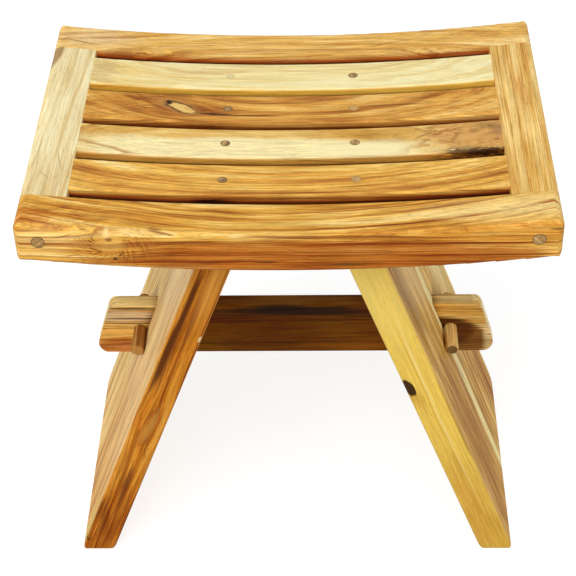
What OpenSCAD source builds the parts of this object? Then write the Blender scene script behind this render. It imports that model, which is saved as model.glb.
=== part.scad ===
// Shower bench with a dished, slatted seat on two splayed panel legs.
// A stretcher runs through both legs, and a peg through each end of it locks them.
// Millimetres, +X to the bench's right, +Y to its back, +Z up.
// The origin is on the floor, under the middle of the seat.

/* [Seat] */
// Width of the seat, end to end
seat_w = 463; // [400:1:560]
// Depth of the seat, front to back
seat_d = 324; // [280:1:400]
// Height of the seat's raised ends above the floor
seat_h = 457; // [400:1:500]
// How far the middle of the seat dips below its ends
seat_dip = 14.5; // [8:0.5:22]

/* [Seat frame] */
// Width of the front rail and of the back rail
rail_w = 43; // [36:1:52]
// Height of the rails
rail_h = 40; // [36:1:48]
// Width of the two end rails
end_rail_w = 41; // [34:1:52]
// Rounding of the frame's long outer edges
rail_round = 5; // [2:0.5:7]
// Rounding of the frame's ends, seen from the front
end_round = 8; // [4:0.5:11]
// Rounding of the frame's four corners, seen from above
corner_round = 6; // [2:0.5:8]
// Length of the end rails' stub tenons
rail_tenon_l = 14; // [8:1:18]
// Width of the end rails' stub tenons
rail_tenon_w = 25; // [16:1:28]
// Thickness of the end rails' stub tenons
rail_tenon_t = 16; // [8:1:18]

/* [Slats] */
// Thickness of a slat
slat_t = 20; // [17:1:23]
// Gap between two slats, where water drains
slat_gap = 10.5; // [6:0.5:15]
// Gap between a rail and the slat beside it
slat_rail_gap = 13; // [6:0.5:18]
// Rounding of the slats' long edges
slat_round = 2; // [1:0.5:4]
// Length of the slats' stub tenons
slat_tenon_l = 12; // [6:1:14]
// Width of the slats' stub tenons
slat_tenon_w = 28; // [20:1:32]
// Thickness of the slats' stub tenons
slat_tenon_t = 10; // [6:1:12]

/* [Cleats] */
// Width of the cleat that lies between the slats and a leg
cleat_w = 60; // [50:1:72]

/* [Legs] */
// Thickness of a leg panel
leg_t = 31.5; // [26:0.5:36]
// How far a foot stands in from the end of the seat
foot_inset = 8.5; // [0:0.5:40]
// Distance from the bench's middle to the middle of a leg's top
leg_top_x = 58.5; // [50:0.5:80]
// How far a leg laps under the front rail and under the back rail
leg_lap = 6; // [2:1:12]
// Rounding of a leg's long edges
leg_round = 3; // [1:0.5:5]
// Rounding along the outer edge of a foot's sole
sole_round = 6; // [1:0.5:8]
// Rounding along the inner edge of a foot's sole
sole_inner_round = 14; // [2:0.5:16]
// Radius of a foot's front corner
front_toe_round = 4; // [2:0.5:12]
// Radius of a foot's back corner
back_toe_round = 27; // [10:1:36]

/* [Stretcher] */
// Height of the stretcher's underside above the floor
stretcher_z = 170; // [120:1:220]
// Height of the stretcher's section
stretcher_h = 64; // [50:1:76]
// Thickness of the stretcher
stretcher_t = 16; // [12:1:22]
// How far the stretcher runs on past a leg's outer face
stretcher_past = 46; // [36:1:60]
// Lean of the stretcher's end faces off upright, in degrees
stretcher_end_lean = 17; // [10:1:22]
// Radius of the corners of the stretcher's ends
stretcher_corner = 13; // [4:1:14]
// Rounding of the stretcher's long edges
stretcher_round = 2.5; // [1:0.5:4]
// Clearance beside and above the stretcher in its mortises
mortise_gap = 0.2; // [0.1:0.05:0.6]

/* [Pegs] */
// Diameter of a locking peg
peg_d = 13; // [10:0.5:16]
// Length of a peg
peg_l = 82; // [60:1:100]
// Chamfer on a peg's ends
peg_chamfer = 1.2; // [0.5:0.1:2]
// Radial clearance of a peg in its hole
peg_clearance = 0.05; // [0.03:0.01:0.1]
// Gap between a peg and the leg that it locks
peg_gap = 0.3; // [0.2:0.05:0.6]

/* [Screws and plugs] */
// Diameter of the plugs in the slats
slat_plug_d = 9; // [8.5:0.5:12]
// Depth of the plugs in the slats
slat_plug_l = 7; // [5:0.5:8]
// Length of the screws through a slat and a cleat into a leg
slat_screw_l = 58; // [50:1:62]
// Diameter of the plugs in the rails
rail_plug_d = 12; // [10:0.5:14]
// Depth of the plugs in the rails
rail_plug_l = 8; // [5:0.5:12]
// How far the plugs in the rails sit above the middle of the joint
rail_plug_up = 2.5; // [0:0.5:4]
// Length of the screws through a rail into an end rail
rail_screw_l = 60; // [50:1:75]
// Diameter of a screw's shank
screw_d = 5; // [4:0.5:6]
// Diameter of a screw's head
screw_head_d = 8; // [7:0.5:8.5]
// Height of a screw's conical head
screw_head_h = 3; // [2:0.5:4]
// Length of a screw's point
screw_point_l = 7; // [4:1:10]
// Diameter of the point's blunt tip
screw_tip_d = 0.8; // [0.4:0.1:1.5]
// Width of the square socket in a screw's head
screw_socket_w = 2.4; // [2:0.1:3]
// Depth of that socket
screw_socket_l = 2; // [1:0.5:2.5]

/* [Hidden] */
$fn = 48;

LEFT = -1;
RIGHT = 1;
FRONT = -1;
BACK = 1;
SIDES = [LEFT, RIGHT];
slat_count = 4;
arc_fn = 720;    // facets of the seat's large circles where they are previewed
past = 5;        // how far a cutting shape runs past what it cuts
ease = 0.98;     // share of its radius at which a rounding's centre lies inside the faces

half_w = seat_w / 2;
half_d = seat_d / 2;
inner_half_w = half_w - end_rail_w;
inner_half_d = half_d - rail_w;

// The seat's surface is part of a cylinder whose axis runs along Y, above the bench.
// A depth is measured from that surface towards the floor.
arc_r = (half_w * half_w + seat_dip * seat_dip) / (2 * seat_dip);
arc_z = seat_h - seat_dip + arc_r;
arc_angle = 2 * asin((half_w + past) / arc_r);
function seat_z(x, depth = 0) = arc_z - sqrt(pow(arc_r + depth, 2) - x * x);

slat_w = (2 * inner_half_d - 2 * slat_rail_gap - (slat_count - 1) * slat_gap) / slat_count;
function slat_y(i) = inner_half_d - slat_rail_gap - slat_w / 2 - i * (slat_w + slat_gap);

end_rail_x = half_w - end_rail_w / 2;
rail_joint_z = seat_z(end_rail_x, rail_h / 2);

// A leg's outer face meets the floor at foot_x. The lean is the one that puts the
// middle of the leg's top at leg_top_x, where it meets the seat's underside.
foot_x = half_w - foot_inset;
leg_top_z = seat_z(leg_top_x, rail_h);
leg_reach = foot_x - leg_top_x;
leg_lean = acos(leg_t / 2 / norm([leg_reach, leg_top_z])) - atan2(leg_top_z, leg_reach);
leg_across = leg_t / cos(leg_lean);
leg_half_d = inner_half_d + leg_lap;
face_normal = [cos(leg_lean), sin(leg_lean)];
// Distance from the bench's middle to a line at that lean, inset from the outer face
function leaning_x(floor_x, z, inset = 0) = floor_x - z * tan(leg_lean) - inset / cos(leg_lean);

// Slope of the seat over a leg, to which the plugs there are trimmed
plug_lean = asin(leg_top_x / arc_r);

stretcher_top_z = stretcher_z + stretcher_h;
peg_z = stretcher_z + stretcher_h / 2;
stretcher_reach = leaning_x(foot_x, peg_z) + stretcher_past;
// Distance from the bench's middle to a line at the lean of the stretcher's end faces
function stretcher_end_x(z, inset = 0) =
    stretcher_reach - (z - peg_z) * tan(stretcher_end_lean) - inset / cos(stretcher_end_lean);
peg_x = leaning_x(foot_x, peg_z, -peg_d / 2 - peg_gap);

// Extrudes an outline drawn as [x, z] from y0 to y1.
module along_y(y0, y1) {
    translate([0, y1, 0]) rotate([90, 0, 0]) linear_extrude(y1 - y0) children();
}

// Extrudes an outline drawn as [y, z] from x0 to x1.
module along_x(x0, x1) {
    translate([x0, 0, 0]) rotate([90, 0, 90]) linear_extrude(x1 - x0) children();
}

// Puts a piece made for the right side on the side asked for.
module on_side(side) {
    mirror([side == LEFT ? 1 : 0, 0, 0]) children();
}

// What a rounding of radius r takes off the corner at c. The piece lies towards dir,
// which holds a 1 or a -1 for each direction. The rounding ends in a faint edge.
module corner_waste(c, dir, r) {
    inset = r * ease;
    difference() {
        translate([c[0] - (dir[0] > 0 ? past : inset), c[1] - (dir[1] > 0 ? past : inset)])
            square(past + inset);
        translate([c[0] + dir[0] * inset, c[1] + dir[1] * inset]) circle(r);
    }
}

// Bar that follows the seat's curve, from y0 to y1 and from depth d0 to depth d1.
module seat_bar(y0, y1, d0, d1) {
    seat_sweep() translate([arc_r + d0, y0]) square([d1 - d0, y1 - y0]);
}

// Sweeps an outline drawn as [distance from the axis, y] along the seat's curve.
module seat_sweep() {
    translate([0, 0, arc_z]) rotate([-90, 0, 0]) rotate([0, 0, 90 - arc_angle / 2])
        rotate_extrude(angle = arc_angle, $fn = arc_fn) children();
}

// Rounds a long edge of the seat's pieces, at y and at a depth.
module seat_edge_waste(y, depth, dir, r) {
    seat_sweep() corner_waste([arc_r + depth, y], dir, r, $fn = 48);
}

// Front view of the seat frame: two arcs, and upright ends with rounded corners.
module seat_outline() {
    r = end_round;
    top_x = half_w - r;
    top_c = [top_x, seat_z(top_x, r)];
    low_c = [top_x, seat_z(top_x, rail_h - r)];
    axis = [0, arc_z];
    top_out = axis + (top_c - axis) * (arc_r - past) / (arc_r + r);
    low_out = axis + (low_c - axis) * (arc_r + rail_h + past) / (arc_r + rail_h - r);
    flip = [[-1, 0], [0, 1]];
    intersection() {
        translate(axis) difference() {
            circle(arc_r + rail_h, $fn = arc_fn);
            circle(arc_r, $fn = arc_fn);
        }
        polygon([top_out, top_c, low_c, low_out,
                 flip * low_out, flip * low_c, flip * top_c, flip * top_out]);
    }
    for (side = SIDES) {
        translate([side * top_c[0], top_c[1]]) circle(r);
        translate([side * low_c[0], low_c[1]]) circle(r);
        translate([side == LEFT ? -half_w : top_x, low_c[1]]) square([r, top_c[1] - low_c[1]]);
    }
}

// Stub tenons of an end rail, and the mortises for them in the rails.
module rail_tenon(side, end) {
    translate([side * end_rail_x, end * inner_half_d, rail_joint_z])
        cube([rail_tenon_w, 2 * rail_tenon_l, rail_tenon_t], center = true);
}

// Curved tongue of a slat, which ends in the end rails' mortises.
module slat_tongue(i) {
    reach = inner_half_w + slat_tenon_l;
    intersection() {
        seat_bar(slat_y(i) - slat_tenon_w / 2, slat_y(i) + slat_tenon_w / 2,
                 (slat_t - slat_tenon_t) / 2, (slat_t + slat_tenon_t) / 2);
        translate([-reach, -half_d, 0]) cube([2 * reach, seat_d, seat_h]);
    }
}

// Countersunk screw whose head is at the origin and whose point is below it.
module screw_form(l) {
    translate([0, 0, -screw_head_h]) cylinder(h = screw_head_h, d1 = screw_d, d2 = screw_head_d);
    translate([0, 0, screw_point_l - l]) cylinder(h = l - screw_point_l - screw_head_h, d = screw_d);
    translate([0, 0, -l]) cylinder(h = screw_point_l, d1 = screw_tip_d, d2 = screw_d);
}

module screw(l) {
    difference() {
        screw_form(l);
        translate([-screw_socket_w / 2, -screw_socket_w / 2, -screw_socket_l])
            cube([screw_socket_w, screw_socket_w, screw_socket_l + past]);
    }
}

// Places at the top of each slat screw's head, over the middle of a leg's top.
module at_slat_screw(side, i) {
    translate([side * leg_top_x, slat_y(i), seat_z(leg_top_x) - slat_plug_l]) children();
}

// Places at the top of a frame screw's head, pointing from the rail's face inwards.
module at_frame_screw(side, end) {
    translate([side * end_rail_x, end * (half_d - rail_plug_l), rail_joint_z + rail_plug_up])
        rotate([-90 * end, 0, 0]) children();
}

module slat_screw_hole(side, i) {
    at_slat_screw(side, i) screw_form(slat_screw_l);
}

module frame_screw_hole(side, end) {
    at_frame_screw(side, end) screw_form(rail_screw_l);
}

// Section of a rail as [distance from the axis, y], with its two outer edges rounded.
module rail_section(end) {
    difference() {
        translate([arc_r, end == FRONT ? -half_d : inner_half_d]) square([rail_h, rail_w]);
        corner_waste([arc_r, end * half_d], [1, -end], rail_round);
        corner_waste([arc_r + rail_h, end * half_d], [-1, -end], rail_round);
    }
}

// What the rounded end of the seat frame leaves of a longer bar, seen from the front.
module frame_end_waste(side) {
    r = end_round;
    top_x = half_w - r;
    top_z = seat_z(top_x, r * ease);
    low_z = seat_z(top_x, rail_h - r * ease);
    mirror([side == LEFT ? 1 : 0, 0]) difference() {
        translate([top_x, low_z - 2 * r]) square([r + 4 * past, top_z - low_z + 4 * r]);
        translate([top_x, top_z]) circle(r);
        translate([top_x, low_z]) circle(r);
        translate([top_x - r, low_z]) square([2 * r, top_z - low_z]);
    }
}

module rail(end) {
    difference() {
        seat_sweep() rail_section(end);
        for (side = SIDES) {
            along_y(-seat_d, seat_d) frame_end_waste(side);
            linear_extrude(seat_h + past)
                corner_waste([side * half_w, end * half_d], [-side, -end], corner_round);
            rail_tenon(side, end);
            frame_screw_hole(side, end);
            at_frame_screw(side, end) cylinder(h = rail_plug_l + past, d = rail_plug_d);
        }
    }
}

module front_rail() {
    color("#D89A3E") rail(FRONT);
}

module back_rail() {
    color("#DDAA55") rail(BACK);
}

module end_rail(side) {
    difference() {
        union() {
            intersection() {
                along_y(-inner_half_d, inner_half_d) seat_outline();
                on_side(side) translate([inner_half_w, -half_d, 0])
                    cube([end_rail_w + past, seat_d, seat_h]);
            }
            for (end = [FRONT, BACK]) rail_tenon(side, end);
        }
        for (i = [0 : slat_count - 1]) slat_tongue(i);
        for (end = [FRONT, BACK]) frame_screw_hole(side, end);
    }
}

module left_end_rail() {
    color("#E9DBA0") end_rail(LEFT);
}

module right_end_rail() {
    color("#D9A850") end_rail(RIGHT);
}

// Slats are numbered from the back of the seat to its front.
module slat(i) {
    y0 = slat_y(i) - slat_w / 2;
    y1 = slat_y(i) + slat_w / 2;
    difference() {
        union() {
            difference() {
                intersection() {
                    seat_bar(y0, y1, 0, slat_t);
                    translate([-inner_half_w, y0 - past, 0])
                        cube([2 * inner_half_w, slat_w + 2 * past, seat_h]);
                }
                seat_edge_waste(y0, 0, [1, 1], slat_round);
                seat_edge_waste(y1, 0, [1, -1], slat_round);
                seat_edge_waste(y0, slat_t, [-1, 1], slat_round);
                seat_edge_waste(y1, slat_t, [-1, -1], slat_round);
            }
            slat_tongue(i);
        }
        for (side = SIDES) {
            slat_screw_hole(side, i);
            at_slat_screw(side, i) cylinder(h = slat_plug_l + past, d = slat_plug_d);
        }
    }
}

module slat_1() {
    color("#E8D08A") slat(0);
}

module slat_2() {
    color("#CF9246") slat(1);
}

module slat_3() {
    color("#EAD9A0") slat(2);
}

module slat_4() {
    color("#D2983F") slat(3);
}

// Cleats fill the space between the slats and the legs, flush with the rails below.
module cleat(side) {
    difference() {
        intersection() {
            seat_bar(-inner_half_d, inner_half_d, slat_t, rail_h);
            translate([side * leg_top_x - cleat_w / 2, -half_d, 0]) cube([cleat_w, seat_d, seat_h]);
        }
        for (i = [0 : slat_count - 1]) slat_screw_hole(side, i);
    }
}

module left_cleat() {
    color("#B98243") cleat(LEFT);
}

module right_cleat() {
    color("#B98243") cleat(RIGHT);
}

// Front view of the right leg. Its top is cut to the curve of the seat's underside.
module leg_outline() {
    r = sole_round;
    inner_r = sole_inner_round;
    outer_c = [leaning_x(foot_x, r, r), r];
    inner_c = [leaning_x(foot_x - leg_across, inner_r, -inner_r), inner_r];
    difference() {
        union() {
            polygon([[outer_c[0], 0], outer_c + r * face_normal,
                     [leaning_x(foot_x, seat_h), seat_h],
                     [leaning_x(foot_x - leg_across, seat_h), seat_h],
                     inner_c - inner_r * face_normal, [inner_c[0], 0]]);
            translate(outer_c) circle(r);
            translate(inner_c) circle(inner_r);
        }
        translate([0, arc_z]) circle(arc_r + rail_h, $fn = arc_fn);
    }
}

// Each leg panel is two boards, glued edge to edge over the middle of the bench.
module leg_board(side, end) {
    y0 = end == FRONT ? -leg_half_d : 0;
    edge_y = end * leg_half_d;
    difference() {
        on_side(side) difference() {
            along_y(y0, y0 + leg_half_d) leg_outline();
            translate([foot_x, 0, 0]) rotate([0, -leg_lean, 0])
                translate([0, 0, -seat_h / 2]) linear_extrude(2 * seat_h) {
                    corner_waste([0, edge_y], [-1, -end], leg_round);
                    corner_waste([-leg_t, edge_y], [1, -end], leg_round);
                }
            along_x(0, seat_w)
                corner_waste([edge_y, 0], [-end, 1], end == FRONT ? front_toe_round : back_toe_round);
        }
        stretcher_mortise();
        for (i = [0 : slat_count - 1]) slat_screw_hole(side, i);
    }
}

module left_leg_front_board() {
    color("#B5722E") leg_board(LEFT, FRONT);
}

module left_leg_rear_board() {
    color("#D9B276") leg_board(LEFT, BACK);
}

module right_leg_front_board() {
    color("#D8AE4C") leg_board(RIGHT, FRONT);
}

module right_leg_rear_board() {
    color("#C2934C") leg_board(RIGHT, BACK);
}

// Slot for the stretcher, which rests on its lower side.
module stretcher_mortise() {
    translate([-half_w, -stretcher_t / 2 - mortise_gap, stretcher_z])
        cube([seat_w, stretcher_t + 2 * mortise_gap, stretcher_h + mortise_gap]);
}

// What a rounding takes off one corner of the stretcher, seen from the front.
module stretcher_waste(side, up) {
    r = stretcher_corner;
    z = peg_z + up * stretcher_h / 2;
    c = [side * stretcher_end_x(z - up * r, r), z - up * r];
    corner = [side * stretcher_end_x(z), z];
    out = [side * cos(stretcher_end_lean), sin(stretcher_end_lean)];
    beyond = [0, up * past];
    difference() {
        polygon([c, c + (r + past) * out, corner + past * out + beyond,
                 corner + beyond, [c[0], z] + beyond]);
        translate(c) circle(r);
    }
}

// Front view of the stretcher. Its ends lean nearly as much as the legs do.
module stretcher_outline() {
    low_x = stretcher_end_x(stretcher_z);
    top_x = stretcher_end_x(stretcher_top_z);
    difference() {
        polygon([[-low_x, stretcher_z], [low_x, stretcher_z],
                 [top_x, stretcher_top_z], [-top_x, stretcher_top_z]]);
        for (side = SIDES) {
            for (up = [-1, 1]) stretcher_waste(side, up);
        }
    }
}

module stretcher() {
    half_t = stretcher_t / 2;
    color("#8A5A2C") difference() {
        along_y(-half_t, half_t) stretcher_outline();
        along_x(-half_w, half_w) {
            for (side = [FRONT, BACK]) {
                corner_waste([side * half_t, stretcher_z], [-side, 1], stretcher_round);
                corner_waste([side * half_t, stretcher_top_z], [-side, -1], stretcher_round);
            }
        }
        for (side = SIDES) {
            translate([side * peg_x, past + half_t, peg_z]) rotate([90, 0, 0])
                cylinder(h = stretcher_t + 2 * past, r = peg_d / 2 + peg_clearance);
        }
    }
}

module peg(side) {
    r = peg_d / 2;
    c = peg_chamfer;
    translate([side * peg_x, peg_l / 2, peg_z]) rotate([90, 0, 0])
        rotate_extrude() polygon([[0, 0], [r - c, 0], [r, c], [r, peg_l - c], [r - c, peg_l], [0, peg_l]]);
}

module left_peg() {
    color("#A87B45") peg(LEFT);
}

module right_peg() {
    color("#B08A4E") peg(RIGHT);
}

module slat_screws() {
    color("#B8B8B4") for (side = SIDES) {
        for (i = [0 : slat_count - 1]) at_slat_screw(side, i) screw(slat_screw_l);
    }
}

// Plugs are trimmed flush with the seat's curve.
module slat_plugs() {
    color("#8F6F4C") for (side = SIDES) {
        for (i = [0 : slat_count - 1]) {
            difference() {
                at_slat_screw(side, i) cylinder(h = slat_plug_l + past, d = slat_plug_d);
                translate([side * leg_top_x, slat_y(i), seat_z(leg_top_x)])
                    rotate([0, -side * plug_lean, 0])
                        translate([-slat_plug_d, -slat_plug_d, 0]) cube(2 * slat_plug_d);
            }
        }
    }
}

module frame_screws() {
    color("#B8B8B4") for (side = SIDES) {
        for (end = [FRONT, BACK]) at_frame_screw(side, end) screw(rail_screw_l);
    }
}

module frame_plugs() {
    color("#8F6F4C") for (side = SIDES) {
        for (end = [FRONT, BACK]) at_frame_screw(side, end) cylinder(h = rail_plug_l, d = rail_plug_d);
    }
}

front_rail();
back_rail();
left_end_rail();
right_end_rail();
slat_1();
slat_2();
slat_3();
slat_4();
left_cleat();
right_cleat();
left_leg_front_board();
left_leg_rear_board();
right_leg_front_board();
right_leg_rear_board();
stretcher();
left_peg();
right_peg();
slat_screws();
slat_plugs();
frame_screws();
frame_plugs();
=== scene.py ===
import math

import bpy
from mathutils import Matrix, Vector

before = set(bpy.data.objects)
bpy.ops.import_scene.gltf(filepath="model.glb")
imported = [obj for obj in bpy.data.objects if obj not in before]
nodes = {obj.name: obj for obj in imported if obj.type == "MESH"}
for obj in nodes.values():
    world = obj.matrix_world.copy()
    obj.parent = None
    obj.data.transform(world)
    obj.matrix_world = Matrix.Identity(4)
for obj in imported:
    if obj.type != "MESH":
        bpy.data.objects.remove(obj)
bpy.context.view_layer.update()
print("bench loaded:", len(nodes), "pieces of wood and steel")

millimetre = 0.001            # in metres
acrossGrain = (0, 1, 1)       # keeps only what lies across the grain
noiseMean = (0.5, 0.5, 0.5)   # taken off a noise, so that it pushes both ways


def toLinear(hexCode):  # sRGB hex to the linear values that shaders take
    values = [int(hexCode[i:i + 2], 16) / 255 for i in (1, 3, 5)]
    return [v / 12.92 if v <= 0.04045 else ((v + 0.055) / 1.055) ** 2.4 for v in values] + [1.0]


# An input is given a plain value, a socket, or a node, whose first output it then takes.
def addNode(tree, kind, inputs=None, **settings):
    node = tree.nodes.new("ShaderNode" + kind)
    for key, value in settings.items():
        setattr(node, key, value)
    for key, value in (inputs or {}).items():
        if isinstance(value, bpy.types.Node):
            value = value.outputs[0]
        if isinstance(value, bpy.types.NodeSocket):
            tree.links.new(value, node.inputs[key])
        else:
            node.inputs[key].default_value = value
    return node


def span(low, high, side="From"):  # the two ends of a Map Range node's From or To side
    return {side + " Min": low, side + " Max": high}


def newGroup(name, inputs, outputs):
    group = bpy.data.node_groups.new(name, "ShaderNodeTree")
    for direction, sockets in (("INPUT", inputs), ("OUTPUT", outputs)):
        for socketName, kind in sockets:
            group.interface.new_socket(socketName, in_out=direction, socket_type="NodeSocket" + kind)
    return group, group.nodes.new("NodeGroupInput").outputs, group.nodes.new("NodeGroupOutput").inputs


# How teak grows: rings round a pith, in millimetres, x along the grain.
# Real rings are 2 to 4 mm and fibres 0.2 mm. A pixel is about 1 mm, so both are drawn coarser.
growth = {
    "longWave": (1 / 260, 1 / 60, 1 / 60),   # slow wander of the rings
    "midWave": (1 / 80, 1 / 13, 1 / 13),
    "waveShares": {"longWave": 2.0, "midWave": 0.7},
    "fade": (1 / 110, 1 / 7, 1 / 7),         # where a dark line thins out and comes back
    "fibre": (1 / 55, 1 / 1.2, 1 / 1.2),
    "pore": (1 / 10, 1 / 0.7, 1 / 0.7),      # open vessels, seen as short dashes
    "mottle": (1 / 70, 1 / 18, 1 / 18),
    "streak": (1 / 230, 1 / 3.6),            # colour streaks, along the grain and across the rings
    "noiseRoughness": 0.6, "streakRoughness": 0.72, "streakDetail": 5.0,
    "lateStart": (0.25, 0.85),               # dark late wood starts between these shares of a ring
    "lateFull": 0.93, "lateDrop": 0.92,      # it is darkest here, and drops from here to the next ring
    "bareRings": 0.25, "boldestRing": 1.5,   # share of rings that show no line, and the darkest line's weight
    "fadeRange": (0.3, 0.62), "poreRange": (0.58, 0.72), "toneRange": (0.51, 0.97),
    "mottleShare": 0.35, "ringShare": 0.10,  # of the tone, beside the streaks
    "edgeFibre": 0.8, "edgeMean": 0.9,       # how fibres fray a patch's edge
}
teakGrowth, given, made = newGroup(
    "teakGrowth",
    [("Place", "Vector"), ("Pith", "Vector"), ("Ring Width", "Float"), ("Wander", "Float"),
     ("Run Out", "Float"), ("Seed", "Float")],
    [("Place", "Vector"), ("Tone", "Float"), ("Line", "Float"), ("Fibre", "Float"), ("Pore", "Float"),
     ("Rough Edge", "Float")])
seedShift = addNode(teakGrowth, "CombineXYZ", {axis: given["Seed"] for axis in range(3)})


def grainNoise(place, waveName, detail=1.0):
    stretched = addNode(teakGrowth, "VectorMath", {0: place, 1: growth[waveName], 2: seedShift},
                        operation="MULTIPLY_ADD")
    return addNode(teakGrowth, "TexNoise", {"Vector": stretched, "Scale": 1.0, "Detail": detail,
                                            "Roughness": growth["noiseRoughness"]})


drifted = given["Place"]
for waveName, share in growth["waveShares"].items():
    wave = grainNoise(given["Place"], waveName)
    centred = addNode(teakGrowth, "VectorMath", {0: wave.outputs["Color"], 1: noiseMean},
                      operation="SUBTRACT")
    sideways = addNode(teakGrowth, "VectorMath", {0: centred, 1: (0, share, share)}, operation="MULTIPLY")
    swing = addNode(teakGrowth, "VectorMath", {0: sideways, "Scale": given["Wander"]}, operation="SCALE")
    drifted = addNode(teakGrowth, "VectorMath", {0: drifted, 1: swing}, operation="ADD")
fromPith = addNode(teakGrowth, "VectorMath", {0: drifted, 1: given["Pith"]}, operation="SUBTRACT")
fromPith = addNode(teakGrowth, "VectorMath", {0: fromPith, 1: acrossGrain}, operation="MULTIPLY")
distance = addNode(teakGrowth, "VectorMath", {0: fromPith}, operation="LENGTH").outputs["Value"]
along = addNode(teakGrowth, "SeparateXYZ", {0: given["Place"]})
radius = addNode(teakGrowth, "Math", {0: along, 1: given["Run Out"], 2: distance}, operation="MULTIPLY_ADD")

# Each ring draws lots for where its late wood starts, how dark it is and how much it tints the board.
ring = addNode(teakGrowth, "Math", {0: radius, 1: given["Ring Width"]}, operation="DIVIDE")
ringNumber = addNode(teakGrowth, "Math", {0: ring}, operation="FLOOR")
ringShare = addNode(teakGrowth, "Math", {0: ring}, operation="FRACT")
ringSeed = addNode(teakGrowth, "Math", {0: ringNumber, 1: given["Seed"]}, operation="ADD")
ringLot = addNode(teakGrowth, "TexWhiteNoise", {"W": ringSeed}, noise_dimensions="1D")
lots = addNode(teakGrowth, "SeparateColor", {0: ringLot.outputs["Color"]}).outputs
lateStart = addNode(teakGrowth, "MapRange", {"Value": lots[0], **span(*growth["lateStart"], "To")})
lateRise = addNode(teakGrowth, "MapRange", {"Value": ringShare, **span(lateStart, growth["lateFull"])})
lateEnd = addNode(teakGrowth, "MapRange", {"Value": ringShare, **span(growth["lateDrop"], 1),
                                           **span(1, 0, "To")})
ringWeight = addNode(teakGrowth, "MapRange", {"Value": lots[1], "From Min": growth["bareRings"],
                                              "To Max": growth["boldestRing"]})
fade = addNode(teakGrowth, "MapRange", {"Value": grainNoise(drifted, "fade"), **span(*growth["fadeRange"])})
line = addNode(teakGrowth, "Math", {0: lateRise, 1: lateEnd}, operation="MULTIPLY")
line = addNode(teakGrowth, "Math", {0: line, 1: ringWeight}, operation="MULTIPLY")
line = addNode(teakGrowth, "Math", {0: line, 1: fade}, operation="MULTIPLY", use_clamp=True)

streakAlong = addNode(teakGrowth, "Math", {0: along, 1: growth["streak"][0], 2: given["Seed"]},
                      operation="MULTIPLY_ADD")
streakAcross = addNode(teakGrowth, "Math", {0: radius, 1: growth["streak"][1]}, operation="MULTIPLY")
streakPlace = addNode(teakGrowth, "CombineXYZ", {0: streakAlong, 1: streakAcross})
streak = addNode(teakGrowth, "TexNoise",
                 {"Vector": streakPlace, "Scale": 1.0, "Detail": growth["streakDetail"],
                  "Roughness": growth["streakRoughness"]}, noise_dimensions="2D")
fibre = grainNoise(drifted, "fibre", 2.0)
tone = addNode(teakGrowth, "Math", {0: grainNoise(drifted, "mottle"), 1: growth["mottleShare"], 2: streak},
               operation="MULTIPLY_ADD")
tone = addNode(teakGrowth, "Math", {0: lots[2], 1: growth["ringShare"], 2: tone}, operation="MULTIPLY_ADD")
tone = addNode(teakGrowth, "MapRange", {"Value": tone, **span(*growth["toneRange"])})
pore = addNode(teakGrowth, "MapRange", {"Value": grainNoise(given["Place"], "pore"),
                                        **span(*growth["poreRange"])})
roughEdge = addNode(teakGrowth, "Math", {0: fibre, 1: growth["edgeFibre"], 2: wave},
                    operation="MULTIPLY_ADD")
roughEdge = addNode(teakGrowth, "Math", {0: roughEdge, 1: growth["edgeMean"]}, operation="SUBTRACT")
for socketName, source in (("Place", drifted), ("Tone", tone), ("Line", line), ("Fibre", fibre),
                           ("Pore", pore), ("Rough Edge", roughEdge)):
    teakGrowth.links.new(source.outputs[0], made[socketName])

# Round a knot the rings part and flow past it, so places near it are drawn in towards its middle.
# Swirl stirs the grain there as well.
knotStir = {"size": (1 / 9, 1 / 6, 1 / 6), "detail": 3.0}
knotFlow, given, made = newGroup(
    "knotFlow",
    [("Place", "Vector"), ("Middle", "Vector"), ("Reach", "Vector"), ("Push", "Float"), ("Swirl", "Float")],
    [("Place", "Vector")])
away = addNode(knotFlow, "VectorMath", {0: given["Place"], 1: given["Middle"]}, operation="SUBTRACT")
inReach = addNode(knotFlow, "VectorMath", {0: away, 1: given["Reach"]}, operation="DIVIDE")
farness = addNode(knotFlow, "VectorMath", {0: inReach, 1: inReach}, operation="DOT_PRODUCT").outputs["Value"]
minusFar = addNode(knotFlow, "Math", {0: farness, 1: -1.0}, operation="MULTIPLY")
nearness = addNode(knotFlow, "Math", {0: minusFar}, operation="EXPONENT")
pull = addNode(knotFlow, "Math", {0: nearness, 1: given["Push"]}, operation="MULTIPLY")
sideways = addNode(knotFlow, "VectorMath", {0: away, 1: acrossGrain}, operation="MULTIPLY")
drawnIn = addNode(knotFlow, "VectorMath", {0: sideways, "Scale": pull}, operation="SCALE")
bentPlace = addNode(knotFlow, "VectorMath", {0: given["Place"], 1: drawnIn}, operation="SUBTRACT")
stirPlace = addNode(knotFlow, "VectorMath", {0: given["Place"], 1: knotStir["size"]}, operation="MULTIPLY")
stir = addNode(knotFlow, "TexNoise", {"Vector": stirPlace, "Scale": 1.0, "Detail": knotStir["detail"]})
stir = addNode(knotFlow, "VectorMath", {0: stir.outputs["Color"], 1: noiseMean}, operation="SUBTRACT")
stirForce = addNode(knotFlow, "Math", {0: nearness, 1: given["Swirl"]}, operation="MULTIPLY")
stir = addNode(knotFlow, "VectorMath", {0: stir, "Scale": stirForce}, operation="SCALE")
bentPlace = addNode(knotFlow, "VectorMath", {0: bentPlace, 1: stir}, operation="ADD")
knotFlow.links.new(bentPlace.outputs[0], made["Place"])
print("teak growth and knots drawn up")

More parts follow.
